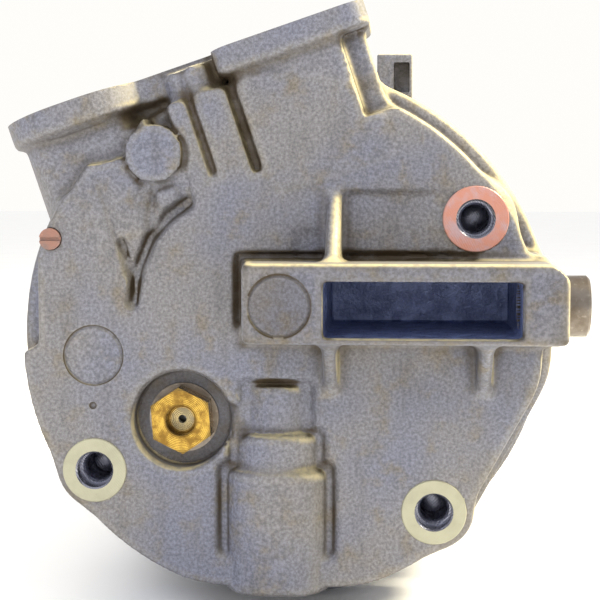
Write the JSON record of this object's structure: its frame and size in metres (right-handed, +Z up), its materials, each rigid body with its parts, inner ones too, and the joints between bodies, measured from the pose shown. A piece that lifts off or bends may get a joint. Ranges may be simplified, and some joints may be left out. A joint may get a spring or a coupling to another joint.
{
  "type": "automotive ac compressor",
  "caption": "Piston air-conditioning compressor with a wobble plate, a cast rear head with port pad and mounting ear, and an electromagnetic clutch pulley.",
  "frame": {"origin": "on the shaft axis, in the plane of the rear head's back face", "axes": "+Z up with the port pad above and to the left, +Y along the shaft from the rear head to the belt pulley, +X towards the mounting ear's bushing"},
  "size_m": [0.1383, 0.2213, 0.1481],
  "materials": {
    "cast_aluminium": "sand-textured die casting",
    "machined_aluminium": "turned",
    "brass": "turned",
    "bronze": "sintered",
    "copper_pin": "copper coloured",
    "plated_steel": "zinc plated",
    "machined_steel": "ground",
    "bearing_steel": "ground and polished",
    "spring_steel": "oiled dark",
    "seal_rubber": "matt",
    "gasket": "coated",
    "coil_steel": "black coated",
    "coil_resin": "cast resin",
    "black_plastic": "moulded",
    "pulley_steel": "black coated, worn in the grooves",
    "armature_steel": "phosphated",
    "hub_steel": "black coated"
  },
  "bodies": {
    "pump_body": {"rear_head": "cast_aluminium", "slotted_plug": "copper_pin", "ear_bushing": "plated_steel", "relief_valve_body": "brass", "relief_valve_washer": "copper_pin", "relief_spring": "spring_steel", "relief_cap": "brass", "control_valve_body": "machined_steel", "control_valve_orings": "seal_rubber", "head_gasket": "gasket", "discharge_reed": "spring_steel", "valve_plate": "machined_steel", "suction_reed": "spring_steel", "cylinder_gasket": "gasket", "cylinder_block": "cast_aluminium", "block_oring": "seal_rubber", "front_head": "cast_aluminium", "through_bolts": "plated_steel", "drain_plug": "plated_steel", "guide_pin": "machined_steel", "shaft_bearings": "bearing_steel", "shaft_seal": "seal_rubber", "snap_rings": "spring_steel", "thrust_washer": "bearing_steel", "coil_case": "coil_steel", "coil_winding": "coil_resin", "coil_connector": "black_plastic", "bearing_inner_race": "bearing_steel"},
    "relief_poppet": {"relief_poppet": "machined_steel"},
    "control_rod": {"control_valve_rod": "machined_steel"},
    "guide_bush": {"guide_bush": "bronze"},
    "wobble_plate": {"wobble_plate": "machined_aluminium", "journal_bush": "bronze"},
    "thrust_needles": {"thrust_bearing": "bearing_steel"},
    "journal": {"journal": "machined_steel", "drive_pin": "bearing_steel", "journal_snap_ring": "spring_steel"},
    "shaft": {"shaft": "machined_steel", "pivot_ball": "bearing_steel", "drive_lug": "machined_steel", "clutch_hub": "hub_steel", "leaf_springs": "spring_steel", "hub_nut": "plated_steel"},
    "armature": {"armature_plate": "armature_steel", "armature_rivets": "plated_steel"},
    "pulley": {"rotor_pulley": "pulley_steel", "bearing_outer_race": "bearing_steel", "pulley_snap_ring": "spring_steel"},
    "ball_cage": {"bearing_balls": "bearing_steel", "bearing_cages": "bronze"},
    "piston_1": {"piston_1": "machined_aluminium", "connecting_rod_1": "machined_steel"},
    "piston_2": {"piston_2": "machined_aluminium", "connecting_rod_2": "machined_steel"},
    "piston_3": {"piston_3": "machined_aluminium", "connecting_rod_3": "machined_steel"},
    "piston_4": {"piston_4": "machined_aluminium", "connecting_rod_4": "machined_steel"},
    "piston_5": {"piston_5": "machined_aluminium", "connecting_rod_5": "machined_steel"}
  },
  "joints": [
    {"name": "pulley_spin", "type": "hinge", "parent": "pump_body", "child": "pulley", "pos_m": [0, 0.165, 0], "axis": [0, 1, 0], "continuous": true},
    {"name": "ball_cage_spin", "type": "hinge", "parent": "pump_body", "child": "ball_cage", "pos_m": [0, 0.165, 0], "axis": [0, 1, 0], "continuous": true},
    {"name": "shaft_spin", "type": "hinge", "parent": "pump_body", "child": "shaft", "pos_m": [0, 0.165, 0], "axis": [0, 1, 0], "continuous": true},
    {"name": "armature_pull", "type": "slide", "parent": "shaft", "child": "armature", "axis": [0, -1, 0], "range_m": [0, 0.00045], "stiffness_N_per_m": 20000},
    {"name": "plate_tilt", "type": "hinge", "parent": "pump_body", "child": "wobble_plate", "pos_m": [0, 0.10519, 0], "axis": [1, 0, 0], "range_deg": [-20, 20]},
    {"name": "thrust_needles_spin", "type": "hinge", "parent": "wobble_plate", "child": "thrust_needles", "pos_m": [0, 0.10519, 0], "axis": [0, 1, 0], "continuous": true},
    {"name": "journal_spin", "type": "hinge", "parent": "wobble_plate", "child": "journal", "pos_m": [0, 0.10519, 0], "axis": [0, 1, 0], "continuous": true},
    {"name": "relief_lift", "type": "slide", "parent": "pump_body", "child": "relief_poppet", "axis": [0, -1, 0], "range_m": [0, 0.0015], "stiffness_N_per_m": 12000, "springref_m": -0.002, "deforming": ["relief_spring"]},
    {"name": "control_rod_lift", "type": "slide", "parent": "pump_body", "child": "control_rod", "axis": [0, 0, 1], "range_m": [0, 0.001], "stiffness_N_per_m": 1500},
    {"name": "piston_1_stroke", "type": "slide", "parent": "pump_body", "child": "piston_1", "axis": [0, 1, 0], "range_m": [-0.0145, 0.0145]},
    {"name": "piston_2_stroke", "type": "slide", "parent": "pump_body", "child": "piston_2", "axis": [0, 1, 0], "range_m": [-0.0145, 0.0145]},
    {"name": "piston_3_stroke", "type": "slide", "parent": "pump_body", "child": "piston_3", "axis": [0, 1, 0], "range_m": [-0.0145, 0.0145]},
    {"name": "piston_4_stroke", "type": "slide", "parent": "pump_body", "child": "piston_4", "axis": [0, 1, 0], "range_m": [-0.0145, 0.0145]},
    {"name": "piston_5_stroke", "type": "slide", "parent": "pump_body", "child": "piston_5", "axis": [0, 1, 0], "range_m": [-0.0145, 0.0145]},
    {"name": "guide_bush_slide", "type": "slide", "parent": "pump_body", "child": "guide_bush", "axis": [0, 1, 0], "range_m": [-0.006, 0.006]}
  ],
  "couplings": [
    {"joint": "ball_cage_spin", "follows": "pulley_spin", "ratio": 0.5647},
    {"joint": "thrust_needles_spin", "follows": "shaft_spin", "ratio": 0.5},
    {"joint": "journal_spin", "follows": "shaft_spin", "ratio": 1},
    {"joint": "piston_1_stroke", "follows": "plate_tilt", "m_per_rad": -0.011209},
    {"joint": "piston_2_stroke", "follows": "plate_tilt", "m_per_rad": -0.04064},
    {"joint": "piston_3_stroke", "follows": "plate_tilt", "m_per_rad": -0.013908},
    {"joint": "piston_4_stroke", "follows": "plate_tilt", "m_per_rad": 0.032045},
    {"joint": "piston_5_stroke", "follows": "plate_tilt", "m_per_rad": 0.033713},
    {"joint": "guide_bush_slide", "follows": "plate_tilt", "m_per_rad": 0.012358}
  ]
}
